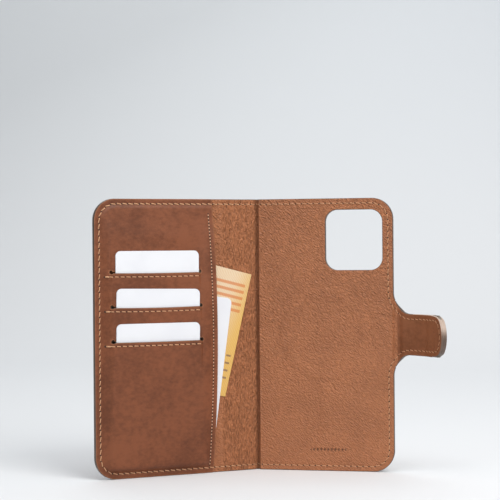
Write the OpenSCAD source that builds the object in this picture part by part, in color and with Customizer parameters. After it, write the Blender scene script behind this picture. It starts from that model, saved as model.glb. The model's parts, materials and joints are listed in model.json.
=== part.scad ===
// Phone wallet case in leather, standing open on its lower edges.
// +Z is up. The origin is the middle of the back panel's lower edge.
// The back panel lies in the XZ plane with the phone side towards -Y.
// The spine and the front cover lie to its left (-X), bent forward by open_bend.

/* [Panels] */
// Height of the case
case_h = 167; // [160:1:176]
// Width of the back panel
panel_w = 83.6; // [80:0.2:88]
// Width of the front cover from its fold line to its free edge
cover_w = 83.6; // [80:0.2:86]
// Distance between the two fold lines
spine_w = 24.5; // [22:0.5:30]
// Radius of the outer corners
corner_r = 13; // [8:0.5:16]
// Angle by which the cover stands bent forward from flat
open_bend = 38.5; // [0:0.5:90]

/* [Layers] */
// Thickness of the outer leather
outer_t = 1.3; // [1.2:0.1:1.5]
// Thickness of the lining leather
lining_t = 0.8; // [0.7:0.05:0.9]
// Thickness of the board inside the back panel
back_board_t = 1.5; // [1.3:0.1:2]
// Thickness of the board inside the front cover
cover_board_t = 0.5; // [0.45:0.05:0.6]
// Thickness of the pocket leather
pocket_t = 0.7; // [0.6:0.05:0.7]

/* [Camera window] */
// Width of the window
window_w = 35.3; // [30:0.1:38]
// Height of the window
window_h = 37.1; // [30:0.1:40]
// Corner radius of the window
window_r = 7.5; // [4:0.5:10]
// Distance from the window to the panel's free edge
window_side = 6.4; // [5:0.1:9]
// Distance from the window to the panel's top edge
window_top = 6.9; // [5:0.1:9]

/* [Clasp] */
// Width of the strap
strap_w = 24.8; // [20:0.2:28]
// Length of the strap from its root fold to its end
strap_len = 48; // [46:0.5:50]
// Length of the strap between its two folds
bridge_len = 29.5; // [28:0.5:31]
// Radius of the flare where the strap meets the panel
flare_r = 13; // [10:0.5:15]
// Radius of the rounded end
tip_r = 14; // [13:0.5:20]
// Angle at which the strap leaves the panel
root_angle = 30; // [20:1:40]
// Angle that the strap has reached at its end
tip_angle = 62; // [55:1:70]

/* [Card pockets] */
// Height of the upper slit above the lower edge
upper_slit_z = 123; // [122:0.5:124]
// Distance from each slit to the next
slit_pitch = 20.6; // [20:0.1:21]
// Width of a card
card_w = 54; // [53:0.1:54]
// Height of a card
card_h = 85.6; // [85:0.1:86]
// Thickness of a card
card_t = 0.76; // [0.6:0.02:0.76]
// Corner radius of a card
card_r = 3.2; // [2:0.1:4]
// Tilt of the middle card in its pocket
middle_tilt = 1; // [0:0.1:1]

/* [Magnets] */
// Outer diameter of the magnet ring
ring_od = 55; // [50:0.5:56]
// Inner diameter of the magnet ring
ring_id = 46; // [40:0.5:48]
// Number of magnets in the ring
ring_count = 18; // [12:1:24]
// Diameter of the clasp magnets
clasp_magnet_d = 9; // [7:0.5:9]

/* [Hidden] */
$fn = 64;

// Fold geometry: a fold is two leathers thick and turns about its middle.
fold_half = (outer_t + lining_t) / 2;
back_t = outer_t + back_board_t + lining_t;
back_gap = 1.4;
spine_back_gap = 1.3;
spine_cover_gap = 1.75;
cover_gap = 1.3;
fold_bead_r = 0.9;
bead_margin = 0.5;
fold_x = -panel_w / 2 - back_gap;
fold_y = back_t / 2 - fold_half;
inner_y = -fold_half;
cover_outer_y = inner_y + lining_t + cover_board_t + outer_t;
cover_start = spine_w + cover_gap;
cover_end = spine_w + cover_w;

// Seams: threads lie in shallow grooves along the edges.
seam_inset = 3;
groove_w = 0.9;
groove_d = 0.35;
thread_w = 0.7;
thread_t = 0.3;

// Magnets and plate.
ring_x = -0.4;
ring_z = 84;
magnet_t = 0.7;
magnet_slack = 0.2;
align_w = 5.5;
align_h = 25;
align_z = 28;
plate_w = 11;
plate_h = 28;
plate_end = 4.6;
plate_slack = 0.2;

// Strap: an arc that starts at the root fold.
strap_z = case_h / 2 + 0.4;
strap_half = 1.2;
tip_half = 1.8;
filler_half = 0.6;
root_x = panel_w / 2 + back_gap;
root_y = back_t / 2 - strap_half;
root_gap = 1.4;
bridge_gap = 1.5;
tip_gap = 1.4;
strap_turn = tip_angle - root_angle;
strap_rho = strap_len * 180 / PI / strap_turn;
strap_cx = root_x - strap_rho * sin(root_angle);
strap_cy = root_y - strap_rho * cos(root_angle);
clasp_magnet_t = 0.8;
clasp_magnet_z = 6;
clasp_magnet_q = bridge_len + 10.5;
strap_thread_t = 0.25;
thread_end_gap = 2;
tip_thread_stop = 9;
root_fold_extra = 3;

// Card pockets. s runs from the spine fold to the free edge, n out from the lining.
slit_half = 0.35;
slit_start = 39.9;
slit_end = 99.3;
slit_taper = 1.4;
card_s = [68.4, 69.2, 69.2];
card_reveal = [12.8, 10.6, 10.6];
card_n0 = [1.87, 3.33, 4.48];
card_slope = [0.00556, 0.0204, 0.0345];
card_gap = 0.05;
flap_n = 1.1;
liner_n = 1.1;
liner_t = 0.3;
mouth_middle = 29.4;
mouth_mid_z = 86;
mouth_reach = 80;
mouth_bow = 2.2;
mouth_lift = 2.9;
mouth_end_z = 4;
mouth_fullness = 0.6;
stitch_lo = seam_inset - thread_w / 2;
stitch_hi = seam_inset + thread_w / 2;
slot_stitch_drop = 2.2;
seat_z = 3.4;
seat_rise = 3.2;
free_shoulder = slit_end - slit_taper;
free_flat = cover_end - 3.8;
top_shoulder = 142;
top_flat = case_h - 3.6;
rim_flat = 3.5;
corner_flat = 5;
squeeze_s = 88;
liner_low = 9;
liner_drop = 2.5;

// Loose contents of the cash pocket: upper right corner [s, z], tilt and height above the lining.
cash_card_corner = [18.6, 106];
cash_card_tilt = 8.2;
cash_card_n = 0.3;
note_corner = [4.9, 120.6];
note_tilt = 13.9;
note_n = 0.03;
note_size = [70, 77];
note_t = 0.2;

function slit_z(k) = upper_slit_z - k * slit_pitch;
function smooth(t) = let (c = min(1, max(0, t))) c * c * (3 - 2 * c);
function mix(a, b, t) = a + (b - a) * t;

// Height of the rear face of card k above the lining at height z.
function card_n(k, z) = card_n0[k] - card_slope[k] * (slit_z(k) - z);

// Rear face of the leather strip that lies under slit k, or above all slits.
function strip_n(k, z) = k == 0 ? flap_n : card_n(k - 1, z) + card_t + card_gap;

// Strip number at height z: 0 above the upper slit, 3 below the lower one.
function strip_at(z) = z > slit_z(0) ? 0 : z > slit_z(1) ? 1 : z > slit_z(2) ? 2 : 3;

// The strips' common height beyond the ends of the slits.
function margin_n(z) =
    let (k = strip_at(z),
         above = k == 0 ? strip_n(0, z) : (strip_n(k - 1, slit_z(k - 1)) + strip_n(k, slit_z(k - 1))) / 2,
         below = k == 3 ? strip_n(3, z) : (strip_n(k, slit_z(k)) + strip_n(k + 1, slit_z(k))) / 2,
         top = k == 0 ? case_h : slit_z(k - 1),
         low = k == 3 ? 0 : slit_z(k))
    k == 3 ? mix(strip_n(3, z), above, smooth((z - slit_z(2) + slit_pitch) / slit_pitch))
           : mix(below, above, smooth((z - low) / min(top - low, slit_pitch)));

// How far a height lies past the start of a rounded corner of the cover.
function past_corner(z) = max(z - (case_h - corner_r), corner_r - z);
function in_corner(s, z) = s > cover_end - corner_r && past_corner(z) > 0;

// Distance from the rounded outline of the cover, inwards.
function edge_gap(s, z) =
    in_corner(s, z) ? corner_r - norm([s - cover_end + corner_r, past_corner(z)])
                    : min(cover_end - s, z, case_h - z);

function mouth_s(z) = mouth_middle + mouth_bow * pow((z - mouth_mid_z) / mouth_reach, 2);
function mouth_n(z) =
    mouth_lift * pow(max(0, sin(180 * (z - mouth_end_z) / (case_h - 2 * mouth_end_z))), mouth_fullness);

// Height of the rear face of the pocket leather above the lining.
function pocket_n(s, z) =
    let (body = s > slit_start && s < slit_end ? strip_n(strip_at(z), z) : margin_n(z),
         side = mix(mouth_n(z), body, smooth((s - mouth_s(z)) / (slit_start + slit_taper - mouth_s(z)))),
         free = 1 - smooth((s - free_shoulder) / (free_flat - free_shoulder)),
         top = 1 - smooth((z - top_shoulder) / (top_flat - top_shoulder)),
         low = smooth((z - seat_z) / seat_rise),
         flat = in_corner(s, z) ? corner_flat : rim_flat)
    edge_gap(s, z) < flat ? 0 : side * free * top * low;

// Columns of the pocket leather at height z, from its mouth to the free edge.
function free_s(z) = cover_end - corner_r + sqrt(pow(corner_r, 2) - pow(max(0, past_corner(z)), 2));
slit_columns = 8;
column_s = concat(
    [36.2, 38.2, slit_start, slit_start + slit_taper],
    [for (i = [1:slit_columns]) mix(slit_start + slit_taper, slit_end - slit_taper, i / slit_columns)],
    [slit_end, 101.6, 103.4, cover_end - 3.6]
);
function column(i, z) =
    let (m = mouth_s(z), e = free_s(z), s = column_s[i - 3],
         squeeze = (e - squeeze_s) / (cover_end - squeeze_s))
    i == 0 ? m
    : i == 1 ? m + stitch_lo
    : i == 2 ? m + stitch_hi
    : i == last_column ? e
    : s < squeeze_s ? s : squeeze_s + (s - squeeze_s) * squeeze;
last_column = len(column_s) + 3;
first_slit_column = 5;
last_slit_column = first_slit_column + slit_columns + 2;

// Rows of the pocket leather, from the lower edge to the top edge.
function slot_rows(k) = [
    slit_z(k) - slot_stitch_drop - thread_w, slit_z(k) - slot_stitch_drop,
    slit_z(k) - slit_half, slit_z(k) + slit_half, slit_z(k) + 5, slit_z(k) + 11
];
rows = concat(
    [0, 0.8, 2, seat_z, seat_z + 1.2, seat_z + seat_rise, 9, corner_r, 22, 32, 44, 56, 66, 73],
    slot_rows(2), slot_rows(1), slot_rows(0),
    [top_shoulder, 149, case_h - corner_r, case_h - 9, case_h - 6, top_flat,
     case_h - 2, case_h - 0.8, case_h]
);
first_stitch_row = 5;
first_slit_row = 16;
slot_row_count = 6;
function is_slit(i, j) =
    i >= first_slit_column && i < last_slit_column
    && j >= first_slit_row && (j - first_slit_row) % slot_row_count == 0
    && j <= first_slit_row + 2 * slot_row_count;

// Places children of the cover plane: -X runs to the free edge, -Y to the inside.
module on_cover() {
    translate([fold_x, fold_y, 0]) rotate([0, 0, open_bend]) children();
}

// Extrudes an XZ outline from y0 to y0 + t.
module plate(y0, t) {
    translate([0, y0 + t, 0]) rotate([90, 0, 0]) linear_extrude(t) children();
}

// Panel outline from x = 0 to x = w: square at x = 0, rounded at x = w.
module panel_outline(w, inset = 0) {
    r = corner_r - inset;
    h = case_h - 2 * inset;
    translate([0, inset]) {
        square([w - inset - r, h]);
        translate([0, r]) square([w - inset, h - 2 * r]);
        for (z = [r, h - r]) translate([w - inset - r, z]) circle(r);
    }
}

// Outline with four equal round corners.
module rounded(w, h, r) {
    translate([r, 0]) square([w - 2 * r, h]);
    translate([0, r]) square([w, h - 2 * r]);
    for (x = [r, w - r]) for (z = [r, h - r]) translate([x, z]) circle(r);
}

// Seam line of width t along the top, free and bottom edges of a panel.
module seam_outline(w, t) {
    difference() {
        panel_outline(w, seam_inset - t / 2);
        translate([-1, 0]) panel_outline(w + 1, seam_inset + t / 2);
    }
}

// ---- back panel ----
module window_outline() {
    translate([panel_w / 2 - window_side - window_w, case_h - window_top - window_h])
        rounded(window_w, window_h, window_r);
}

module back_outline() {
    difference() {
        translate([-panel_w / 2, 0]) panel_outline(panel_w);
        window_outline();
    }
}

// The back seam leaves the panel where the strap's flare begins.
module back_seam_outline(t) {
    flare_h = strap_w / 2 + flare_r;
    arc_x = panel_w / 2 + flare_r;
    arc_r = flare_r + seam_inset;
    difference() {
        translate([-panel_w / 2, 0]) seam_outline(panel_w, t);
        translate([panel_w / 2 - 2 * seam_inset, strap_z - flare_h]) square([3 * seam_inset, 2 * flare_h]);
    }
    for (side = [-1, 1]) intersection() {
        translate([arc_x, strap_z + side * flare_h]) difference() {
            circle(arc_r + t / 2);
            circle(arc_r - t / 2);
        }
        translate([panel_w / 2 - 2 * seam_inset, strap_z - flare_h]) square([2 * seam_inset, 2 * flare_h]);
    }
}

module back_outer_leather() {
    color("saddlebrown") difference() {
        plate(back_t / 2 - outer_t, outer_t) back_outline();
        plate(back_t / 2 - groove_d, groove_d + 1) back_seam_outline(groove_w);
    }
}

module back_lining() {
    color("peru") difference() {
        plate(-back_t / 2, lining_t) back_outline();
        plate(-back_t / 2 - 1, groove_d + 1) back_seam_outline(groove_w);
    }
}

module back_board() {
    recess_y = -back_t / 2 + lining_t;
    color("dimgray") difference() {
        plate(recess_y, back_board_t) back_outline();
        plate(recess_y - 1, magnet_t + 1) translate([ring_x, ring_z]) difference() {
            circle(d = ring_od + 2 * magnet_slack);
            circle(d = ring_id - 2 * magnet_slack);
        }
        plate(recess_y - 1, magnet_t + 1)
            translate([ring_x - align_w / 2 - magnet_slack, align_z - magnet_slack])
                square([align_w + 2 * magnet_slack, align_h + 2 * magnet_slack]);
    }
}

module magnet_ring() {
    step = 360 / ring_count;
    color("silver") translate([ring_x, -back_t / 2 + lining_t + magnet_t, ring_z]) rotate([90, 0, 0])
        for (i = [0:ring_count - 1]) rotate([0, 0, i * step])
            rotate_extrude(angle = step - 2) translate([ring_id / 2, 0])
                square([(ring_od - ring_id) / 2, magnet_t]);
}

module alignment_magnet() {
    color("silver") plate(-back_t / 2 + lining_t, magnet_t)
        translate([ring_x - align_w / 2, align_z]) square([align_w, align_h]);
}

module back_seam_thread() {
    color("burlywood") {
        plate(-back_t / 2 + groove_d - thread_t, thread_t) back_seam_outline(thread_w);
        plate(back_t / 2 - groove_d, thread_t) back_seam_outline(thread_w);
    }
}

// ---- clasp strap ----
function strap_t(q) = root_angle + strap_turn * q / strap_len;

// Curved slab of the strap from q0 to q1 along it, w0 to w1 across its thickness.
module strap_slab(q0, q1, w0, w1, z0, z1) {
    translate([strap_cx, strap_cy, z0]) rotate([0, 0, 90 - strap_t(q1)])
        rotate_extrude(angle = strap_t(q1) - strap_t(q0), $fn = 256)
            translate([strap_rho - w1, 0]) square([w1 - w0, z1 - z0]);
}

// Places children on the strap: X along it at q, Y outwards, Z up from its middle.
module on_strap(q) {
    a = strap_t(q);
    translate([strap_cx + strap_rho * sin(a), strap_cy + strap_rho * cos(a), strap_z])
        rotate([0, 0, -a]) children();
}

// Flared root of the strap, seen square on; x = 0 is the root fold.
module bridge_outline() {
    flare_h = strap_w / 2 + flare_r;
    translate([-1, -strap_w / 2]) square([bridge_len + 2, strap_w]);
    difference() {
        translate([-1, -flare_h]) square([flare_r - back_gap + 1, 2 * flare_h]);
        for (side = [-1, 1]) translate([flare_r - back_gap, side * flare_h]) circle(flare_r);
    }
}

// Rounded end of the strap, seen square on.
module tip_outline() {
    intersection() {
        translate([bridge_len - 1, -strap_w / 2]) square([strap_len, strap_w]);
        hull() {
            translate([strap_len - tip_r, 0]) circle(tip_r);
            translate([bridge_len - 1, -tip_r]) square([1, 2 * tip_r]);
        }
    }
}

module bridge_layer(w0, w1) {
    intersection() {
        strap_slab(root_gap, bridge_len - bridge_gap, w0, w1, strap_z - strap_len, strap_z + strap_len);
        on_strap(bridge_len / 2) translate([-bridge_len / 2, 0, 0])
            plate(-strap_len / 2, strap_len) bridge_outline();
    }
}

module tip_layer(w0, w1) {
    intersection() {
        strap_slab(bridge_len + tip_gap, strap_len, w0, w1, strap_z - strap_len, strap_z + strap_len);
        on_strap(strap_len) translate([-strap_len, 0, 0]) plate(-strap_len / 2, strap_len) tip_outline();
    }
}

module clasp_bridge_leather() {
    color("saddlebrown") bridge_layer(-strap_half, 0);
}

module clasp_bridge_facing() {
    color("sienna") bridge_layer(0, strap_half);
}

module clasp_tip_leather() {
    color("saddlebrown") tip_layer(-tip_half, -filler_half);
}

module clasp_tip_facing() {
    color("sienna") tip_layer(filler_half, tip_half);
}

module strap_threads(q0, q1, half) {
    edge = strap_w / 2 - seam_inset;
    color("burlywood") for (side = [-1, 1]) {
        z0 = strap_z + side * edge - thread_w / 2;
        strap_slab(q0, q1, half, half + strap_thread_t, z0, z0 + thread_w);
        strap_slab(q0, q1, -half - strap_thread_t, -half, z0, z0 + thread_w);
    }
}

module clasp_bridge_thread() {
    strap_threads(flare_r, bridge_len - thread_end_gap, strap_half);
}

module clasp_tip_thread() {
    strap_threads(bridge_len + thread_end_gap, strap_len - tip_thread_stop, tip_half);
}

module clasp_filler() {
    color("dimgray") difference() {
        tip_layer(-filler_half, filler_half);
        for (side = [-1, 1]) on_strap(clasp_magnet_q) translate([0, 0, side * clasp_magnet_z])
            rotate([90, 0, 0]) cylinder(d = clasp_magnet_d + magnet_slack, h = 4, center = true);
    }
}

module clasp_magnets() {
    color("silver") for (side = [-1, 1]) on_strap(clasp_magnet_q) translate([0, 0, side * clasp_magnet_z])
        rotate([90, 0, 0]) cylinder(d = clasp_magnet_d, h = clasp_magnet_t, center = true);
}

module clasp_root_fold() {
    half_h = strap_w / 2 + root_fold_extra;
    color("saddlebrown") translate([root_x, root_y, strap_z - half_h])
        cylinder(r = fold_bead_r, h = 2 * half_h);
}

module clasp_tip_fold() {
    color("saddlebrown") on_strap(bridge_len) translate([0, 0, -strap_w / 2])
        cylinder(r = fold_bead_r, h = strap_w);
}

// ---- spine ----
module spine_outline() {
    translate([-spine_w + spine_cover_gap, 0]) square([spine_w - spine_cover_gap - spine_back_gap, case_h]);
}

module spine_seam_outline(t) {
    for (z = [seam_inset, case_h - seam_inset]) translate([-spine_w + spine_cover_gap, z - t / 2])
        square([spine_w - spine_cover_gap - spine_back_gap, t]);
}

module spine_outer_leather() {
    color("saddlebrown") on_cover() difference() {
        plate(inner_y + lining_t, outer_t) spine_outline();
        plate(-inner_y - groove_d, groove_d + 1) spine_seam_outline(groove_w);
    }
}

module spine_lining() {
    color("peru") on_cover() difference() {
        plate(inner_y, lining_t) spine_outline();
        plate(inner_y - 1, groove_d + 1) spine_seam_outline(groove_w);
    }
}

module spine_seam_thread() {
    color("burlywood") on_cover() {
        plate(inner_y + groove_d - thread_t, thread_t) spine_seam_outline(thread_w);
        plate(-inner_y - groove_d, thread_t) spine_seam_outline(thread_w);
    }
}

module fold_bead(x) {
    on_cover() translate([x, 0, bead_margin]) cylinder(r = fold_bead_r, h = case_h - 2 * bead_margin);
}

module back_fold_leather() {
    color("peru") fold_bead(0);
}

module cover_fold_leather() {
    color("peru") fold_bead(-spine_w);
}

// ---- front cover ----
module cover_outline() {
    translate([-cover_start, 0]) mirror([1, 0]) panel_outline(cover_end - cover_start);
}

module cover_seam_outline(t) {
    translate([-cover_start, 0]) mirror([1, 0]) seam_outline(cover_end - cover_start, t);
}

module front_outer_leather() {
    color("saddlebrown") on_cover() difference() {
        plate(cover_outer_y - outer_t, outer_t) cover_outline();
        plate(cover_outer_y - groove_d, groove_d + 1) cover_seam_outline(groove_w);
    }
}

module catch_outline(slack) {
    translate([-cover_end + plate_end - slack, strap_z - plate_h / 2 - slack])
        square([plate_w + 2 * slack, plate_h + 2 * slack]);
}

module front_board() {
    color("dimgray") on_cover() difference() {
        plate(inner_y + lining_t, cover_board_t) cover_outline();
        plate(inner_y + lining_t - 1, cover_board_t + 2) catch_outline(plate_slack);
    }
}

module clasp_catch_plate() {
    color("silver") on_cover() plate(inner_y + lining_t, cover_board_t) catch_outline(0);
}

module front_lining() {
    color("peru") on_cover() plate(inner_y, lining_t) cover_outline();
}

module front_seam_thread() {
    color("burlywood") on_cover() {
        plate(cover_outer_y - groove_d, thread_t) cover_seam_outline(thread_w);
        intersection() {
            plate(inner_y - pocket_t - thread_t, thread_t) cover_seam_outline(thread_w);
            translate([-cover_end, -10, 0]) cube([cover_end - mouth_middle - mouth_bow - 4, 20, case_h]);
        }
    }
}

// ---- pocket leather ----
// A sheet over columns i0..i1 and rows j0..j1 of the pocket grid, from lift0 to lift1
// above the pocket leather's rear face. The slits are left open where cut is true.
module pocket_sheet(i0, i1, j0, j1, lift0, lift1, cut) {
    nc = i1 - i0 + 1;
    nr = j1 - j0 + 1;
    layer = nc * nr;
    function spot(i, j, lift) =
        let (z = rows[j], s = column(i, z)) [-s, inner_y - pocket_n(s, z) - lift, z];
    function at(i, j, rear) = (j - j0) * nc + (i - i0) + (rear ? layer : 0);
    function kept(i, j) =
        i >= i0 && i < i1 && j >= j0 && j < j1 && !(cut && is_slit(i, j));
    function wall(p, q) = [[q, p, p + layer], [q, p + layer, q + layer]];
    points = [for (lift = [lift1, lift0]) for (j = [j0:j1]) for (i = [i0:i1]) spot(i, j, lift)];
    cells = [for (j = [j0:j1 - 1]) for (i = [i0:i1 - 1]) if (kept(i, j)) [i, j]];
    skin = [for (c = cells)
        let (i = c[0], j = c[1], a = at(i, j), b = at(i + 1, j), d = at(i, j + 1), e = at(i + 1, j + 1))
        each [[a, b, e], [a, e, d], [a + layer, e + layer, b + layer], [a + layer, d + layer, e + layer]]];
    sides = [for (c = cells)
        let (i = c[0], j = c[1], a = at(i, j), b = at(i + 1, j), d = at(i, j + 1), e = at(i + 1, j + 1))
        each concat(
            kept(i, j - 1) ? [] : wall(a, b),
            kept(i + 1, j) ? [] : wall(b, e),
            kept(i, j + 1) ? [] : wall(e, d),
            kept(i - 1, j) ? [] : wall(d, a))];
    on_cover() polyhedron(points, concat(skin, sides), convexity = 8);
}

module pocket_panel() {
    color("sienna") pocket_sheet(0, last_column, 0, len(rows) - 1, 0, pocket_t, true);
}

module pocket_mouth_thread() {
    color("burlywood")
        pocket_sheet(1, 2, first_stitch_row, len(rows) - 6, pocket_t, pocket_t + thread_t, false);
}

module slot_thread(k) {
    row = first_slit_row - 2 + (2 - k) * slot_row_count;
    color("burlywood") pocket_sheet(first_slit_column + 1, last_slit_column - 1, row, row + 1,
        pocket_t, pocket_t + thread_t, false);
}

module upper_slot_thread() {
    slot_thread(0);
}

module middle_slot_thread() {
    slot_thread(1);
}

module lower_slot_thread() {
    slot_thread(2);
}

module card_pocket_liner() {
    color("tan") on_cover() plate(inner_y - liner_n - liner_t, liner_t)
        translate([-slit_end, liner_low])
            square([slit_end - slit_start + slit_taper, slit_z(0) - liner_drop - liner_low]);
}

// ---- contents ----
module pocket_card(k, tilt) {
    top_z = slit_z(k) + card_reveal[k];
    lean = atan(card_slope[k]);
    color("white") on_cover() translate([-card_s[k], inner_y - card_n(k, top_z), top_z]) rotate([lean, 0, 0])
        translate([0, 0, -card_h / 2]) rotate([0, tilt, 0])
            plate(-card_t, card_t) translate([-card_w / 2, -card_h / 2]) rounded(card_w, card_h, card_r);
}

module card_upper() {
    pocket_card(0, 0);
}

module card_middle() {
    pocket_card(1, middle_tilt);
}

module card_lower() {
    pocket_card(2, 0);
}

// Places children with their upper right corner at a point of the cover plane.
module tilted_from(corner, tilt) {
    translate([-corner[0], corner[1]]) rotate([0, 0, -tilt]) children();
}

module cash_card() {
    color("whitesmoke") on_cover() plate(inner_y - cash_card_n - card_t, card_t)
        tilted_from(cash_card_corner, cash_card_tilt)
            translate([-card_w, -card_h]) rounded(card_w, card_h, card_r);
}

module banknote() {
    color("navajowhite") on_cover() plate(inner_y - note_n - note_t, note_t)
        tilted_from(note_corner, note_tilt) translate([-note_size[0], -note_size[1]]) square(note_size);
}

back_outer_leather();
back_board();
back_lining();
magnet_ring();
alignment_magnet();
back_seam_thread();
clasp_bridge_leather();
clasp_bridge_facing();
clasp_bridge_thread();
clasp_root_fold();
clasp_tip_leather();
clasp_tip_facing();
clasp_tip_thread();
clasp_filler();
clasp_magnets();
clasp_tip_fold();
spine_outer_leather();
spine_lining();
spine_seam_thread();
back_fold_leather();
cover_fold_leather();
front_outer_leather();
front_board();
front_lining();
clasp_catch_plate();
pocket_panel();
card_pocket_liner();
front_seam_thread();
pocket_mouth_thread();
upper_slot_thread();
middle_slot_thread();
lower_slot_thread();
card_upper();
card_middle();
card_lower();
cash_card();
banknote();
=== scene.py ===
"""Looks of the phone wallet case: leather, seams, cards, banknote and studio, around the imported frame."""
import json
import math

import bpy
import numpy as np
from mathutils import Matrix, Vector


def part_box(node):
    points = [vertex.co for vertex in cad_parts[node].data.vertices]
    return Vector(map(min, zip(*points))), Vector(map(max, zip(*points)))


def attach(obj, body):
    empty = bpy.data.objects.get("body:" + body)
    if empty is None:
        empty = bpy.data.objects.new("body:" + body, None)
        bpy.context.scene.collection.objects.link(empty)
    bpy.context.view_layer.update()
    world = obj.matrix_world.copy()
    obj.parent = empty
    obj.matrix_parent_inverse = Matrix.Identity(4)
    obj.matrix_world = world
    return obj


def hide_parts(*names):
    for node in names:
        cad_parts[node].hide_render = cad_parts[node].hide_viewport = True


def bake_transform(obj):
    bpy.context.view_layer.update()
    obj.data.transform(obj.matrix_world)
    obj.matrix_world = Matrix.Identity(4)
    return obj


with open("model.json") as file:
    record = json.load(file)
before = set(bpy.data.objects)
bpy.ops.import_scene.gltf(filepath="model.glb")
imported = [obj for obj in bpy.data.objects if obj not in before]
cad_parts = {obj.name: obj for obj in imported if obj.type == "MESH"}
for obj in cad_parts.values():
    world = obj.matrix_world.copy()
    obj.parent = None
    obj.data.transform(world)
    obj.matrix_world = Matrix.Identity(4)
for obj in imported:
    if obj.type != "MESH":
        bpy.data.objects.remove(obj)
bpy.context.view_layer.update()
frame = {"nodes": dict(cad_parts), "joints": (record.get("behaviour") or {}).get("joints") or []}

# ---------------------------------------------------------------- places and sizes, in millimetres
MM = 0.001
joints = {j["name"]: j for j in frame["joints"]}


def joint_place(name):
    return np.array(joints[name]["pos_m"]) / MM


def node_points(name):
    """A CAD node's vertices in millimetres, row frame."""
    return np.array([v.co for v in frame["nodes"][name].data.vertices]) / MM


FOLD_A = joint_place("spine_fold")
FOLD_B = joint_place("cover_fold")
ROOT = joint_place("clasp_root")
SPINE_W = float(np.hypot(*(FOLD_A - FOLD_B)[:2]))
BEND = math.atan2(FOLD_A[1] - FOLD_B[1], FOLD_A[0] - FOLD_B[0])


def unfold(points):
    """Row-frame points of the cover as flat points (u, v, z): u runs from fold A, v outwards, z up."""
    p = points - FOLD_A
    c, s = math.cos(-BEND), math.sin(-BEND)
    return np.stack([p[:, 0] * c - p[:, 1] * s, p[:, 0] * s + p[:, 1] * c, points[:, 2]], 1)


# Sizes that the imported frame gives.
front_board = unfold(node_points("front_board"))
front_leather = unfold(node_points("front_outer_leather"))
back_board = node_points("back_board")
CASE_H = float(back_board[:, 2].max())
COVER_END = float(-front_board[:, 0].min())
PANEL_EDGE = float(back_board[:, 0].max() - FOLD_A[0])
ROOT_U = float(ROOT[0] - FOLD_A[0])
FOLD_HALF = float(node_points("back_outer_leather")[:, 1].max() - FOLD_A[1])
COVER_OUT = float(front_leather[:, 1].max())
BACK_IN = float(node_points("back_lining")[:, 1].min() - FOLD_A[1])
STRAP_Z = float(ROOT[2])
STRAP_HALF_W = float(np.ptp(node_points("clasp_tip_leather")[:, 2])) / 2
SPINE_MID = -SPINE_W / 2

# The CAD part's driving sizes for the outlines.
CORNER_R, FLARE_R, TIP_R = 13.0, 13.0, 14.0
WINDOW_W, WINDOW_H, WINDOW_R = 35.3, 37.1, 7.5
WINDOW_SIDE, WINDOW_TOP = 6.4, 6.9

# Seams run SEAM inside the edge with stitches PITCH apart. Edges stand EDGE_PROUD of the CAD outline.
SEAM, PITCH = 3.0, 3.7
EDGE_PROUD = 0.08

# Stretch of flat places over which the skin turns at fold A.
FOLD_LEFT, FOLD_RIGHT = -2.5, 1.3

# The strap is an arc through the root and wrap folds.
ROOT_ANGLE, TIP_ANGLE, STRAP_LEN, BRIDGE_LEN = 30.0, 62.0, 48.0, 29.5
STRAP_RHO = STRAP_LEN / math.radians(TIP_ANGLE - ROOT_ANGLE)
STRAP_HALF, TIP_HALF = 1.2, 1.8
STRAP_START, STRAP_EASE = -0.6, 7.0
STRAP_END = ROOT_U + STRAP_LEN
BACK_CUT = ROOT_U + STRAP_START
FACING_U = ROOT_U + 1.0
STRAP_MID = ROOT_U + BRIDGE_LEN / 2
WRAP_U = ROOT_U + BRIDGE_LEN
TIP_FROM, TIP_TO = -2.5, 2.5

# Card pockets, sized as in the CAD part: s is a distance from fold A, n a height above the lining.
ROWS = ("upper", "middle", "lower")
SLITS = [float(node_points(f"{row}_slot_thread")[:, 2].max()) + 2.2 for row in ROWS]
SLIT_SAG = (0.25, 0.4, 0.15)
SLOT_SEAM_DROP = 2.5
SLIT_START, SLIT_END = 39.9, 99.3
CARD_T, CARD_GAP, POCKET_T = 0.76, 0.05, 0.7
CARD_N0 = (1.87, 3.33, 4.48)
CARD_SLOPE = (0.00556, 0.0204, 0.0345)
FLAP_N = 1.1
MOUTH_S, MOUTH_BOW, MOUTH_LIFT = 29.4, 2.2, 2.9
MOUTH_MID_Z, MOUTH_REACH, MOUTH_END_Z = 86, 80, 4

# The pocket leather comes down to the lining beyond two shoulders and lies flat along the rim.
FREE_SHOULDER, FREE_SLOPE = 97.9, 6.4
TOP_SHOULDER, TOP_FLAT = 142, 3.6
RIM_FLAT, LOW_SLOPE = 3.4, 3.4

# Height of the debossed row of diamonds.
MARK_Z = 13


# ---------------------------------------------------------------- small maths
def smooth(t):
    t = np.clip(t, 0, 1)
    return t * t * (3 - 2 * t)


def mix(a, b, t):
    return a + (b - a) * t


def bump(x, width):
    return np.exp(-(x / width) ** 2)


def rounded_box(x, z, x0, x1, z0, z1, r):
    """Signed distance to a rounded rectangle, negative inside."""
    qx = np.abs(x - (x0 + x1) / 2) - (x1 - x0) / 2 + r
    qz = np.abs(z - (z0 + z1) / 2) - (z1 - z0) / 2 + r
    return np.hypot(np.maximum(qx, 0), np.maximum(qz, 0)) + np.minimum(np.maximum(qx, qz), 0) - r


def grid_lines(lo, hi, coarse, zones=()):
    """Grid coordinates from lo to hi at a coarse step, finer in zones of (centre, half width, step)."""
    t = np.linspace(lo, hi, 6000)
    step = np.full_like(t, coarse)
    for centre, half, fine in zones:
        ramp = fine + np.maximum(0, np.abs(t - centre) - half) * 0.5
        step = np.minimum(step, ramp)
    count = np.concatenate([[0], np.cumsum(np.diff(t) / step[1:])])
    return np.interp(np.linspace(0, count[-1], int(np.ceil(count[-1])) + 1), count, t)


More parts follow.
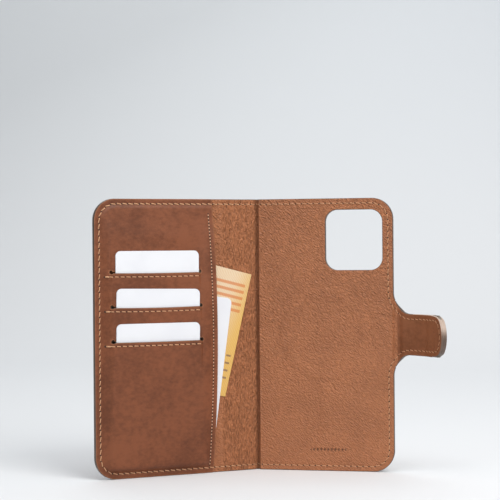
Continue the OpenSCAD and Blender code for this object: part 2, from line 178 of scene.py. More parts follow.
# ---------------------------------------------------------------- flat places to row-frame places
def place_case(p):
    """Flat (u, v, z) of the cover, spine and back panel to the row frame, bent at fold A."""
    u, v, z = p[..., 0], p[..., 1], p[..., 2]
    a = BEND * (1 - smooth((u - FOLD_LEFT) / (FOLD_RIGHT - FOLD_LEFT)))
    c, s = np.cos(a), np.sin(a)
    return np.stack([FOLD_A[0] + u * c - v * s, FOLD_A[1] + u * s + v * c, z], -1) * MM


def strap_place(p):
    """The strap's flat places, joined smoothly to the panel's edge, in the row frame."""
    t0 = math.radians(ROOT_ANGLE)
    centre = np.array([ROOT[0] - STRAP_RHO * math.sin(t0), ROOT[1] - STRAP_RHO * math.cos(t0)])

    def middle(q):
        t = t0 + q / STRAP_RHO
        arc = np.stack([centre[0] + STRAP_RHO * np.sin(t), centre[1] + STRAP_RHO * np.cos(t)], -1)
        line = np.stack([ROOT[0] + q, np.full_like(q, ROOT[1])], -1)
        return line + (arc - line) * smooth((q - STRAP_START) / STRAP_EASE)[..., None]

    q, v = p[..., 0] - ROOT_U, p[..., 1]
    ahead = middle(q + 0.01) - middle(q - 0.01)
    ahead /= np.linalg.norm(ahead, axis=-1, keepdims=True)
    here = middle(q)
    x = here[..., 0] - v * ahead[..., 1]
    y = here[..., 1] + v * ahead[..., 0]
    return np.stack([x, y, p[..., 2]], -1) * MM


def at(place, u, v, z=CASE_H / 2):
    return Vector(place(np.array([[u, v, z]], float))[0])


# Places in metres on either side of each joint; nothing below uses them.
COVER_TURN_FROM, COVER_TURN_TO = at(place_case, -SPINE_W - 1.2, 0), at(place_case, -SPINE_W + 2.8, 0)
SPINE_TURN_FROM, SPINE_TURN_TO = at(place_case, FOLD_LEFT, 0), at(place_case, FOLD_RIGHT, 0)
ROOT_TURN_FROM, ROOT_TURN_TO = at(strap_place, BACK_CUT, 0), at(strap_place, BACK_CUT + 3.8, 0)
WRAP_TURN_FROM, WRAP_TURN_TO = at(strap_place, WRAP_U + TIP_FROM, 0), at(strap_place, WRAP_U + TIP_TO, 0)


# ---------------------------------------------------------------- meshes
INNER_FACE, OUTER_FACE, RIM_FACE, EARLY_INNER_FACE = range(4)
RIM_ANGLES = np.radians([25, 50, 75, 90])


def new_object(name, points, faces, materials, kinds, attributes):
    """A mesh of metre points whose faces take the material numbered in kinds."""
    mesh = bpy.data.meshes.new(name)
    mesh.from_pydata(points.tolist(), [], faces)
    for m in materials:
        mesh.materials.append(m)
    mesh.polygons.foreach_set("material_index", np.array(kinds, np.int32))
    mesh.polygons.foreach_set("use_smooth", np.ones(len(faces), bool))
    for key, values in attributes.items():
        kind = "FLOAT_VECTOR" if values.ndim == 2 else "FLOAT"
        a = mesh.attributes.new(key, kind, "POINT")
        a.data.foreach_set("vector" if values.ndim == 2 else "value", values.astype(np.float32).ravel())
    mesh.validate()
    mesh.update()
    mesh.set_sharp_from_angle(angle=math.radians(62))
    obj = bpy.data.objects.new(name, mesh)
    bpy.context.scene.collection.objects.link(obj)
    return obj


def gradient(outline, u, z):
    """Unit direction in which an outline's distance grows fastest."""
    e = 0.01
    gu = (outline(u + e, z) - outline(u - e, z)) / (2 * e)
    gz = (outline(u, z + e) - outline(u, z - e)) / (2 * e)
    length = np.maximum(np.hypot(gu, gz), 1e-6)
    return gu / length, gz / length


def kept_cells(us, zs, outline, inset):
    """Cells of the grid that lie inside the outline, with no two cells that meet only at a corner."""
    cu, cz = np.meshgrid((us[1:] + us[:-1]) / 2, (zs[1:] + zs[:-1]) / 2)
    keep = outline(cu, cz) < -inset
    for _ in range(8):
        a, b, c, d = keep[:-1, :-1], keep[:-1, 1:], keep[1:, :-1], keep[1:, 1:]
        one = a & d & ~b & ~c
        two = b & c & ~a & ~d
        if not (one | two).any():
            break
        keep[:-1, :-1] &= ~one
        keep[:-1, 1:] &= ~two
    return keep


def sheet(name, us, zs, outline, inner, outer, place, materials,
          rim=0.3, turn_u=-1e9, layers=(), shade_and_mark=None):
    """A closed leather sheet over a grid, cut to an outline, with rounded rims.

    outline(u, z) is a signed distance. inner and outer give v of the two faces. The grid's own
    left and right ends are plain cuts, where another sheet goes on. materials: inner, outer, rim,
    and the inner face before turn_u. layers: where joints between layers show in the rim, as
    shares of it. The last argument, a function of (u, z), gives how far the leather is darkened,
    from 0 to 1: painted shade in a fold's valley, and a darker debossed row."""
    keep = kept_cells(us, zs, outline, rim)
    nr, nc = len(zs), len(us)
    u, z = (a.ravel().copy() for a in np.meshgrid(us, zs))
    rows, cols = np.nonzero(keep)
    a = rows * nc + cols
    quads = np.stack([a, a + 1, a + nc + 1, a + nc], 1)
    padded = np.pad(keep, 1)
    r, c = rows + 1, cols + 1
    sides = [(padded[r - 1, c], 0, 1), (padded[r, c + 1], 1, 2),
             (padded[r + 1, c], 2, 3), (padded[r, c - 1], 3, 0)]
    border = np.concatenate([np.stack([quads[~other, i], quads[~other, j]], 1) for other, i, j in sides])

    def on_grid_end(ids):
        return np.isin(ids % nc, [0, nc - 1])

    at_end = on_grid_end(border).all(1) & (border[:, 0] % nc == border[:, 1] % nc)
    rim_edges, cut_edges = border[~at_end], border[at_end]
    rim_ids = np.unique(rim_edges)

    # The border's points slide on to the outline, inset by the rim.
    for _ in range(6):
        gu, gz = gradient(outline, u[rim_ids], z[rim_ids])
        off = outline(u[rim_ids], z[rim_ids]) + rim
        u[rim_ids] -= np.where(on_grid_end(rim_ids), 0, gu * off)
        z[rim_ids] -= gz * off
    used = np.unique(quads)
    number = np.full(nr * nc, -1)
    number[used] = np.arange(len(used))
    u0, z0 = u[used], z[used]
    gu, gz = gradient(outline, u[rim_ids], z[rim_ids])
    gu = np.where(on_grid_end(rim_ids), 0, gu)
    ring_of = {int(k): i for i, k in enumerate(rim_ids)}

    # Levels run from the inner face, round the rim in rings, to the outer face.
    uu, zz, vv = [u0], [z0], [inner(u0, z0)]

    def ring(reach, height):
        x, y = u[rim_ids] + gu * reach, z[rim_ids] + gz * reach
        uu.append(x)
        zz.append(y)
        vv.append(height(x, y))

    for t in RIM_ANGLES:
        ring(rim * math.sin(t), lambda x, y, d=rim * (1 - math.cos(t)): inner(x, y) + d)
    for share in layers:
        for shift, dent in ((-0.07, 0), (0, 0.09), (0.07, 0)):
            ring(rim - dent, lambda x, y, k=share + shift: mix(inner(x, y) + rim, outer(x, y) - rim, k))
    for t in RIM_ANGLES[::-1]:
        ring(rim * math.sin(t), lambda x, y, d=rim * (1 - math.cos(t)): outer(x, y) - d)
    uu.append(u0)
    zz.append(z0)
    vv.append(outer(u0, z0))
    starts = np.concatenate([[0], np.cumsum([len(x) for x in uu])])
    points = np.stack([np.concatenate(uu), np.concatenate(vv), np.concatenate(zz)], 1)
    levels = len(uu)

    def index(level, ids):
        if level in (0, levels - 1):
            return starts[level] + number[ids]
        return starts[level] + np.array([ring_of[int(k)] for k in ids])

    faces = number[quads].tolist() + (starts[-2] + number[quads[:, ::-1]]).tolist()
    kinds = [INNER_FACE] * len(quads) + [OUTER_FACE] * len(quads)
    p, q = rim_edges[:, 0], rim_edges[:, 1]
    chain_p = [index(k, p) for k in range(levels)]
    chain_q = [index(k, q) for k in range(levels)]
    for k in range(levels - 1):
        band = np.stack([chain_q[k], chain_p[k], chain_p[k + 1], chain_q[k + 1]], 1)
        faces += band.tolist()
        kind = INNER_FACE if k == 0 else OUTER_FACE if k == levels - 2 else RIM_FACE
        kinds += [kind] * len(band)

    # Each plain cut gets one wall, with an end face where it meets the rim.
    if len(cut_edges):
        p, q = cut_edges[:, 0], cut_edges[:, 1]
        corners = [index(0, q), index(0, p), index(levels - 1, p), index(levels - 1, q)]
        faces += np.stack(corners, 1).tolist()
        kinds += [RIM_FACE] * len(cut_edges)
        for v in np.intersect1d(cut_edges, rim_ids):
            loop = [int(index(k, np.array([v]))[0]) for k in range(levels)]
            ends_here = (cut_edges[:, 0] == v).any()
            faces.append(loop if ends_here else loop[::-1])
            kinds.append(RIM_FACE)
    kinds = [EARLY_INNER_FACE if kind == INNER_FACE and points[f[0], 0] < turn_u else kind
             for f, kind in zip(faces, kinds)]
    distance = -outline(points[:, 0], points[:, 2])
    dark = shade_and_mark(points[:, 0], points[:, 2]) if shade_and_mark else np.zeros(len(points))
    attributes = {"rest": points, "edge": distance, "shade_and_mark": dark}
    return new_object(name, place(points), faces, materials, kinds, attributes)


# ---------------------------------------------------------------- outlines
def cover_outline(u, z):
    e = COVER_END + EDGE_PROUD
    return rounded_box(u, z, -e, e, -EDGE_PROUD, CASE_H + EDGE_PROUD, CORNER_R)


def window_outline(u, z):
    x1 = PANEL_EDGE - WINDOW_SIDE
    z1 = CASE_H - WINDOW_TOP
    return rounded_box(u, z, x1 - WINDOW_W, x1, z1 - WINDOW_H, z1, WINDOW_R) + EDGE_PROUD


def strap_outline(u, z):
    """The strap laid flat beside the panel, with its rounded end."""
    q = u - ROOT_U - (STRAP_LEN - TIP_R)
    side = np.abs(z - STRAP_Z) - STRAP_HALF_W - EDGE_PROUD
    end = np.where(q > 0, np.hypot(q, z - STRAP_Z), np.abs(z - STRAP_Z)) - TIP_R - EDGE_PROUD
    r = 3.4
    corner = np.hypot(np.maximum(side + r, 0), np.maximum(end + r, 0))
    rounded = np.minimum(-r, np.maximum(side, end)) + corner
    return np.where(q > 0, rounded, np.maximum(side, end))


def back_outline(u, z):
    """The back panel joined to the flat strap by two round flares, with the camera window cut out."""
    e = PANEL_EDGE + EDGE_PROUD
    panel = rounded_box(u, z, -e, e, -EDGE_PROUD, CASE_H + EDGE_PROUD, CORNER_R)
    strap = strap_outline(u, z)
    corner = np.hypot(np.maximum(FLARE_R - panel, 0), np.maximum(FLARE_R - strap, 0))
    joined = np.maximum(FLARE_R, np.minimum(panel, strap)) - corner
    near = (np.abs(z - STRAP_Z) < STRAP_HALF_W + FLARE_R + 2) & (u > PANEL_EDGE - 20)
    return np.maximum(np.where(near, joined, np.minimum(panel, strap)), -window_outline(u, z))


def mouth_at(z):
    """Distance of the pocket's mouth from fold A: it bows towards the fold at its middle."""
    return MOUTH_S + MOUTH_BOW * ((z - MOUTH_MID_Z) / MOUTH_REACH) ** 2


def slit_line(k, u):
    """Height of slit k at u: it sags a little between its ends."""
    t = np.clip((-u - SLIT_START) / (SLIT_END - SLIT_START), 0, 1)
    return SLITS[k] - SLIT_SAG[k] * np.sin(math.pi * t)


def slit_outline(k, u, z):
    """A narrow slit with a round punched hole at each end."""
    half, hole_r = 0.3, 1.05
    x0, x1 = -SLIT_END + 1.0, -SLIT_START - 1.0
    along = np.maximum(np.maximum(x0 - u, u - x1), 0)
    slot = np.hypot(along, z - slit_line(k, u)) - half
    holes = [np.hypot(u - x, z - SLITS[k] - 0.15) - hole_r for x in (x0, x1)]
    return np.minimum(slot, np.minimum(*holes))


def pocket_outline(u, z):
    panel = np.maximum(cover_outline(u, z), u + mouth_at(z))
    for k in range(3):
        panel = np.maximum(panel, -slit_outline(k, u, z))
    return panel


# ---------------------------------------------------------------- heights of the faces
def seam_dip(distance):
    """How far the leather is drawn in along a seam that runs SEAM inside the edge."""
    return 0.16 * bump(distance - SEAM, 0.75) + 0.05 * bump(distance - SEAM, 2.2)


def cover_inner(u, z):
    dip = seam_dip(-cover_outline(u, z))
    crease = 0.35 * bump(u + SPINE_W, 1.6) - 0.12 * bump(u + SPINE_W + 3.2, 1.8)
    return -FOLD_HALF + dip * 0.8 + crease * 0.5


def cover_outer(u, z):
    step = smooth((-u - SPINE_W + 2.0) / 4.5)
    crease = 0.22 * bump(u + SPINE_W, 1.3)
    return mix(FOLD_HALF, COVER_OUT, step) - seam_dip(-cover_outline(u, z)) - crease


def ring_relief(u, z):
    """The magnet ring and the bar below it, as they show through the lining."""
    low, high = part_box("magnet_ring")
    cx = (low.x + high.x) / 2 / MM - FOLD_A[0]
    cz = (low.z + high.z) / 2 / MM
    outer_r = (high.x - low.x) / 2 / MM
    r = np.hypot(u - cx, z - cz)
    ring = smooth((outer_r + 1.4 - r) / 1.8) * smooth((r - outer_r + 6.4) / 1.8)
    low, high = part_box("alignment_magnet")
    bar = rounded_box(u + FOLD_A[0], z, low.x / MM, high.x / MM, low.z / MM, high.z / MM, 1)
    return 0.36 * np.maximum(ring, smooth((1.0 - bar) / 1.6))


def mark(u, z):
    """1 inside a small debossed row of diamonds near the lower edge, else 0."""
    du = u + FOLD_A[0] - 1.0
    cell = np.abs((du + 1.1) % 2.2 - 1.1)
    inside = 1 - cell / 0.95 - np.abs(z - MARK_Z) / 1.35
    return smooth(inside / 0.4) * (np.abs(du) < 11)


def rolling(u, z):
    """Slow unevenness of the lining over the board."""
    return 0.05 * np.sin(u / 9 + z / 23) * np.sin(z / 13 - u / 31) * smooth((u - 6) / 8)


def back_inner(u, z):
    """The lining from the spine, down into the fold's valley and up over the back board."""
    dip = seam_dip(-back_outline(u, z))
    spine = -FOLD_HALF + 0.6 * smooth((u + 3.4) / 2.9)
    wall = smooth((u - 0.3) / 1.6)
    face = mix(spine, BACK_IN, wall)
    tongue = smooth((u - PANEL_EDGE + 0.9) / 1.8) * smooth((24 - np.abs(z - STRAP_Z)) / 3)
    face = mix(face, FOLD_HALF - 2 * STRAP_HALF, tongue)
    return face + dip - ring_relief(u, z) + 0.25 * mark(u, z) - rolling(u, z)


def back_shade_and_mark(u, z):
    """The lining is darker in the fold, as painted shade in its valley, and in the debossed row."""
    return np.maximum(0.9 * mark(u, z), 0.5 * bump(u + 0.3, 1.3))


def back_outer(u, z):
    crease = 0.2 * bump(u, 1.3)
    return FOLD_HALF - seam_dip(-back_outline(u, z)) - crease


def card_rear(k, z):
    return CARD_N0[k] - CARD_SLOPE[k] * (SLITS[k] - z)


def strip_rear(k, z):
    return np.full_like(z, FLAP_N) if k == 0 else card_rear(k - 1, z) + CARD_T + CARD_GAP


def pocket_rear(u, z):
    """Height of the pocket leather's rear face above the lining."""
    s = -u
    strip = np.zeros(np.shape(z), int)
    for k in range(3):
        strip += z < slit_line(k, u)
    body = np.choose(strip, [strip_rear(k, z) for k in range(4)])

    def rear_at(k, height):
        return float(strip_rear(k, np.array(height)))

    foot, head = SLITS[2] - 22, SLITS[0] + 16
    meets = [(rear_at(k, SLITS[k]) + rear_at(k + 1, SLITS[k])) / 2 for k in (2, 1, 0)]
    margin = np.interp(z, [foot, *SLITS[::-1], head], [rear_at(3, foot), *meets, FLAP_N])
    margin = np.where(z < foot, strip_rear(3, z), margin)
    inside = smooth(np.minimum(s - SLIT_START - 0.2, SLIT_END - 0.2 - s) / 1.6)
    body = mix(margin, body, inside)
    rise = np.clip((z - MOUTH_END_Z) / (CASE_H - 2 * MOUTH_END_Z), 0, 1)
    lift = MOUTH_LIFT * np.maximum(0, np.sin(np.pi * rise)) ** 0.6
    mouth = mouth_at(z)
    body = mix(lift, body, smooth((s - mouth) / (SLIT_START + 1.4 - mouth)))
    gap = -cover_outline(u, z)
    free = 1 - smooth((s - FREE_SHOULDER) / FREE_SLOPE)
    top = 1 - smooth((z - TOP_SHOULDER) / (CASE_H - TOP_FLAT - TOP_SHOULDER))
    low = smooth((z - RIM_FLAT) / LOW_SLOPE)
    return body * free * top * low * smooth((gap - RIM_FLAT) / 0.8)


def seam_rows(u, z):
    """Distance from the decorative rows: below each slit, and inside the pocket's mouth."""
    rows = [np.abs(z - slit_line(k, u) + SLOT_SEAM_DROP) for k in range(3)]
    inside = (-u > SLIT_START - 1) & (-u < SLIT_END + 1)
    rows = [np.where(inside, r, 9) for r in rows]
    return np.minimum(np.min(rows, 0), np.abs(-u - mouth_at(z) - SEAM))


def pocket_inner(u, z):
    dip = seam_dip(-cover_outline(u, z)) + 0.13 * bump(seam_rows(u, z), 0.7)
    lips = np.zeros(np.shape(z))
    for k in range(3):
        away = slit_line(k, u) - z
        inside = smooth(np.minimum(-u - SLIT_START, SLIT_END + u) / 3)
        share = 0.3 if k < 2 else 1.0  # a card slides over the two upper lips
        lip = 0.16 * bump(away - 0.9, 0.9) + 0.4 * np.exp(-np.maximum(away, 0) / 4)
        lips += share * inside * lip * (away > 0)
    return -FOLD_HALF - pocket_rear(u, z) - POCKET_T + dip - lips - edge_shoulder(u, z)


def pocket_outer(u, z):
    return -FOLD_HALF - pocket_rear(u, z)


def edge_shoulder(u, z):
    """A slight shoulder where the pocket leather rises inside its edge seam."""
    gap = -cover_outline(u, z)
    return 0.3 * smooth((gap - SEAM - 0.9) / 1.6) * (1 - smooth((gap - SEAM - 2.5) / 14))


def strap_thick(u):
    return mix(STRAP_HALF, TIP_HALF, smooth((u - ROOT_U - BRIDGE_LEN - TIP_FROM) / (TIP_TO - TIP_FROM)))


def strap_inner(u, z):
    step = 0.38 * smooth((u - FACING_U) / 0.25) * (1 - smooth((u - FACING_U - 1) / 9))
    return -strap_thick(u) + seam_dip(-back_outline(u, z)) + step


def strap_outer(u, z):
    return strap_thick(u) - seam_dip(-back_outline(u, z))


# ---------------------------------------------------------------- materials
class Graph:
    """A material's nodes, joined by short calls. Places are in millimetres."""

    def __init__(self, name, at_rest=True):
        self.material = bpy.data.materials.new(name)
        self.material.use_nodes = True
        self.tree = self.material.node_tree
        self.shader = self.tree.nodes["Principled BSDF"]
        if at_rest:
            self.place = self.node("ShaderNodeAttribute", attribute_name="rest").outputs["Vector"]
        else:
            scale = self.node("ShaderNodeVectorMath", operation="SCALE")
            self.join(self.node("ShaderNodeTexCoord").outputs["Object"], scale.inputs[0])
            scale.inputs["Scale"].default_value = 1 / MM
            self.place = scale.outputs[0]

    def node(self, kind, **settings):
        n = self.tree.nodes.new(kind)
        for key, value in settings.items():
            setattr(n, key, value)
        return n

    def join(self, value, socket):
        if isinstance(value, bpy.types.NodeSocket):
            self.tree.links.new(value, socket)
        elif isinstance(value, (tuple, list)) and socket.type == "RGBA":
            socket.default_value = (*value[:3], 1)
        else:
            socket.default_value = value

    def value(self, name):
        return self.node("ShaderNodeAttribute", attribute_name=name).outputs["Fac"]

    def math(self, operation, a, b=0.0):
        n = self.node("ShaderNodeMath", operation=operation)
        self.join(a, n.inputs[0])
        self.join(b, n.inputs[1])
        return n.outputs[0]

    def add(self, a, b):
        return self.math("ADD", a, b)

    def minus(self, a, b):
        return self.math("SUBTRACT", a, b)

    def times(self, a, b):
        return self.math("MULTIPLY", a, b)

    def stretch(self, scale, place=None):
        """Places multiplied by scale: a small number draws a pattern out along that axis."""
        n = self.node("ShaderNodeVectorMath", operation="MULTIPLY")
        self.join(place or self.place, n.inputs[0])
        n.inputs[1].default_value = scale
        return n.outputs[0]

    def noise(self, size, detail=3.0, rough=0.5, place=None, warp=0.0):
        n = self.node("ShaderNodeTexNoise")
        self.join(place or self.place, n.inputs["Vector"])
        n.inputs["Scale"].default_value = 1 / size
        n.inputs["Detail"].default_value = detail
        n.inputs["Roughness"].default_value = rough
        n.inputs["Distortion"].default_value = warp
        return n.outputs["Fac"]

    def cells(self, size, place=None, feature="DISTANCE_TO_EDGE"):
        n = self.node("ShaderNodeTexVoronoi", feature=feature)
        self.join(place or self.place, n.inputs["Vector"])
        n.inputs["Scale"].default_value = 1 / size
        return n.outputs["Distance"]

    def span(self, value, lo, hi, to_lo=0.0, to_hi=1.0):
        n = self.node("ShaderNodeMapRange", interpolation_type="SMOOTHSTEP")
        self.join(value, n.inputs["Value"])
        for key, x in (("From Min", lo), ("From Max", hi), ("To Min", to_lo), ("To Max", to_hi)):
            n.inputs[key].default_value = x
        return n.outputs["Result"]

    def blend(self, share, a, b):
        n = self.node("ShaderNodeMix", data_type="RGBA")
        self.join(share, n.inputs[0])
        self.join(a, n.inputs[6])
        self.join(b, n.inputs[7])
        return n.outputs[2]

    def relief(self, height, depth):
        """Bump of that depth in millimetres where height goes from 0 to 1."""
        n = self.node("ShaderNodeBump")
        self.join(height, n.inputs["Height"])
        n.inputs["Distance"].default_value = depth * MM
        return n.outputs["Normal"]

    def axis(self, index):
        n = self.node("ShaderNodeSeparateXYZ")
        self.join(self.place, n.inputs[0])
        return n.outputs[index]

    def finish(self, colour, rough, normal=None, **others):
        self.join(colour, self.shader.inputs["Base Color"])
        self.join(rough, self.shader.inputs["Roughness"])
        if normal is not None:
            self.join(normal, self.shader.inputs["Normal"])
        for key, x in others.items():
            self.join(x, self.shader.inputs[key.replace("_", " ")])
        return self.material


def shade_of(colour, share):
    return tuple(c * share for c in colour)


def lining_leather(name, light, dark, grain):
    """Pebbled leather: rounded cells between fine creases, drawn out into wrinkles along the folds. Its
    colour carries painted shade in the hollows and painted highlights on the ridges.
    """
    g = Graph(name)
    shift = g.node("ShaderNodeVectorMath", operation="ADD")
    g.join(g.place, shift.inputs[0])
    spread = g.node("ShaderNodeCombineXYZ")
    for k in range(3):
        g.join(g.times(g.noise(3.2 + k, 2), 1.6), spread.inputs[k])
    g.join(spread.outputs[0], shift.inputs[1])
    lean = g.node("ShaderNodeVectorRotate", rotation_type="Y_AXIS")
    g.join(shift.outputs[0], lean.inputs["Vector"])
    lean.inputs["Angle"].default_value = math.radians(52)
    flow = g.stretch((1.0, 1.0, 0.5), lean.outputs[0])
    pebble = g.span(g.cells(grain, flow), 0.0, 0.36)
    wisp = g.noise(0.88, 1.5, 0.5, g.stretch((1.0, 1.0, 0.43), lean.outputs[0]), 0.4)

    # fold is 1 on the spine's lining, and calm quietens the wisps there and near the foot.
    fold = g.span(g.math("ABSOLUTE", g.add(g.axis(0), 12.0)), 10.5, 15.0, 1.0, 0.0)
    wrinkle = g.noise(0.75, 1.5, 0.5, g.stretch((1.0, 1.0, 0.3)))
    calm = g.times(g.span(g.axis(2), 10.0, 150.0, 0.55, 1.0), g.minus(1.0, g.times(fold, 0.75)))
    patch = g.noise(24, 3, 0.5)
    mottle = g.noise(2.4, 3, 0.55, flow)
    height = g.add(g.times(pebble, 0.4), g.times(wisp, 3.1))
    height = g.add(height, g.times(mottle, 0.25))
    height = g.add(g.times(height, calm), g.times(pebble, 0.2))
    height = g.add(height, g.times(g.times(wrinkle, fold), 5.4))
    shade = g.add(g.times(patch, 0.75), g.times(mottle, 0.25))
    colour = g.blend(g.span(shade, 0.36, 0.64), dark, light)
    # Painted shade: the gaps between the pebbles and the troughs of the wisps are darkened.
    painted_shade = shade_of(dark, 0.45)
    crease = g.add(g.times(g.minus(1.0, pebble), 0.15), g.span(wisp, 0.48, 0.3, 0.0, 0.3))
    colour = g.blend(g.times(crease, calm), colour, painted_shade)
    # Painted light: the spine's lining is lightened, where more light falls on it.
    colour = g.blend(g.times(fold, 0.4), colour, shade_of(light, 1.15))
    # Painted shade in the hollows between the spine's wrinkles.
    valley = g.times(g.times(g.span(wrinkle, 0.48, 0.32), fold), 0.45)
    colour = g.blend(valley, colour, painted_shade)
    # Painted highlights on the ridges of the wisps and of the spine's wrinkles.
    crest_highlight = g.add(g.times(g.span(wisp, 0.54, 0.7, 0.0, 0.4), calm),
                  g.times(g.span(wrinkle, 0.54, 0.7, 0.0, 0.5), fold))
    colour = g.blend(crest_highlight, colour, shade_of(light, 1.45))
    # Painted shade in the fold's valley, and the debossed row darkened.
    colour = g.blend(g.value("shade_and_mark"), colour, shade_of(dark, 0.3))
    shine = g.span(pebble, 0.0, 1.0, 0.6, 0.48)
    return g.finish(colour, shine, g.relief(height, 0.6), Specular_IOR_Level=0.45)


def smooth_leather(name, light, dark, wear_and_highlight, rough=0.42):
    """Waxed pull-up leather: cloudy colour, fine pores and edges lighter with wear."""
    g = Graph(name)
    cloud = g.noise(34, 3, 0.5, warp=0.4)
    mottle = g.noise(4.5, 4, 0.62)
    streak = g.noise(1.6, 3, 0.6, g.stretch((0.6, 1.0, 1.0)))
    shade = g.add(g.times(cloud, 0.5), g.times(mottle, 0.25))
    shade = g.add(shade, g.times(streak, 0.28))
    colour = g.blend(g.span(shade, 0.4, 0.62), dark, light)
    pores = g.span(g.cells(0.55, feature="F1"), 0.05, 0.3)
    colour = g.blend(g.times(g.minus(1.0, pores), 0.3), colour, shade_of(dark, 0.5))
    wear = g.span(g.value("edge"), 0.05, 1.1, 0.4, 0.0)
    colour = g.blend(wear, colour, wear_and_highlight)
    height = g.add(g.times(pores, 0.3), g.times(mottle, 0.7))
    height = g.add(height, g.times(g.noise(0.5, 3, 0.6), 0.35))
    shine = g.span(mottle, 0.3, 0.7, rough - 0.05, rough + 0.1)
    return g.finish(colour, shine, g.relief(height, 0.12), Specular_IOR_Level=0.3)


def painted_edge(name, light, dark, pale=None):
    """Burnished, painted edge with fine streaks along its layers; a third colour, if given, is a painted
    highlight above the strap's middle, where light from above falls.
    """
    g = Graph(name)
    streak = g.noise(1.2, 4, 0.6, g.stretch((0.12, 5.0, 0.12)))
    patch = g.noise(9, 2)
    tone = g.add(g.times(streak, 0.6), g.times(patch, 0.4))
    colour = g.blend(g.span(tone, 0.35, 0.65), dark, light)
    if pale:
        # Painted highlight: the upper half of the strap's end is made paler, where light from above falls
        # on it.
        wear_and_highlight = g.span(g.add(g.axis(2), g.times(streak, 5.0)), STRAP_Z + 1.0, STRAP_Z + 8.5)
        colour = g.blend(wear_and_highlight, colour, pale)
    return g.finish(colour, 0.38, g.relief(streak, 0.06), Specular_IOR_Level=0.5)


def thread_material(name, light, dark):
    """Waxed thread: two plies twisted round each other. rest is along, round and row number."""
    g = Graph(name)
    twist = g.math("SINE", g.add(g.times(g.axis(0), 9.0), g.times(g.axis(1), 2.0)))
    ply = g.span(twist, -1.0, 1.0)
    tone = g.noise(2.3, 3, 0.6)
    colour = g.blend(g.add(g.times(ply, 0.6), g.times(tone, 0.4)), dark, light)
    return g.finish(colour, 0.5, g.relief(ply, 0.05), Specular_IOR_Level=0.35)


def plain_material(name, colour, rough, size=1.0, depth=0.02, vary=0.12, metal=0.0, at_rest=False):
    """An even finish with a little grain, for what is mostly inside."""
    g = Graph(name, at_rest)
    grain = g.noise(size, 4, 0.6)
    tone = g.blend(g.span(grain, 0.3, 0.7), shade_of(colour, 1 - vary), colour)
    return g.finish(tone, rough, g.relief(grain, depth), Metallic=metal)


def woven_material(name, light, dark, pitch=0.6):
    """Plain woven cloth with a thread every half pitch."""
    g = Graph(name, False)
    turns = 2 * math.pi / pitch
    warp = g.math("SINE", g.times(g.axis(0), turns))
    weft = g.math("SINE", g.times(g.axis(2), turns))
    weave = g.span(g.times(warp, weft), -1.0, 1.0)
    return g.finish(g.blend(weave, dark, light), 0.85, g.relief(weave, 0.08))


def note_material(name):
    """Printed paper: cream to yellow, with fine waves, plain stripes and a row of short dashes.

    rest is across, through and up from the note's upper right corner."""
    g = Graph(name)
    x, z = g.axis(0), g.axis(2)

    def within(value, lo, hi, soft=0.2):
        return g.times(g.span(value, lo - soft, lo + soft), g.span(value, hi + soft, hi - soft))

    cream, yellow = (0.76, 0.6, 0.4), (0.72, 0.45, 0.12)
    orange, brown = (0.62, 0.17, 0.025), (0.2, 0.105, 0.065)
    colour = g.blend(g.span(g.add(x, g.times(z, -0.22)), -12.0, 8.0), cream, yellow)
    waves = g.math("SINE", g.add(g.times(g.add(x, z), 3.4), g.math("SINE", g.times(z, 1.3))))
    colour = g.blend(g.span(waves, 0.2, 1.0, 0.0, 0.28), colour, orange)
    for k in range(5):
        stripe = g.times(within(x, -30.0, -2.5), within(z, -9.0 - 4.0 * k, -7.2 - 4.0 * k))
        colour = g.blend(g.times(stripe, 0.7), colour, orange)
    for k in range(4):
        dash = g.times(within(x, -5.2, -2.2), within(z, -52.6 - 4.6 * k, -51.4 - 4.6 * k))
        colour = g.blend(g.times(dash, 0.8), colour, brown)
    fibre = g.noise(0.6, 4, 0.7)
    colour = g.blend(g.span(fibre, 0.5, 0.8, 0.0, 0.12), colour, (0.9, 0.85, 0.75))
    return g.finish(colour, 0.72, g.relief(fibre, 0.03))


def card_material(name):
    """Plain satin plastic."""
    g = Graph(name, False)
    grain = g.noise(0.8, 3, 0.5)
    tone = g.blend(g.span(g.noise(20, 2), 0.3, 0.7), (0.785, 0.795, 0.83), (0.815, 0.825, 0.855))
    shine = g.span(grain, 0.3, 0.7, 0.3, 0.4)
    return g.finish(tone, shine, g.relief(grain, 0.006), Specular_IOR_Level=0.45)


LINING = lining_leather("lining_leather", (0.425, 0.156, 0.062), (0.37, 0.134, 0.053), 1.2)
POCKET = smooth_leather(
    "pocket_leather", (0.225, 0.071, 0.029), (0.135, 0.041, 0.0165), (0.42, 0.17, 0.075))
OUTER = smooth_leather("outer_leather", (0.225, 0.085, 0.042), (0.175, 0.062, 0.029), (0.36, 0.16, 0.08))
FACING = smooth_leather("strap_facing", (0.28, 0.102, 0.044), (0.2, 0.07, 0.029), (0.36, 0.15, 0.07), 0.5)
EDGE = painted_edge("painted_edge", (0.12, 0.075, 0.052), (0.05, 0.031, 0.022))
# The strap's end carries a painted highlight on its upper half.
STRAP_EDGE = painted_edge("strap_edge", (0.15, 0.095, 0.066), (0.065, 0.04, 0.029), (0.45, 0.335, 0.265))
THREAD = thread_material("waxed_thread", (0.74, 0.43, 0.24), (0.45, 0.21, 0.1))
LINING_THREAD = thread_material("lining_thread", (0.66, 0.35, 0.19), (0.42, 0.19, 0.09))
# The pocket mouth's row is drawn in a lighter thread than the others.
MOUTH_THREAD = thread_material("lighter_thread", (0.8, 0.5, 0.32), (0.5, 0.26, 0.14))
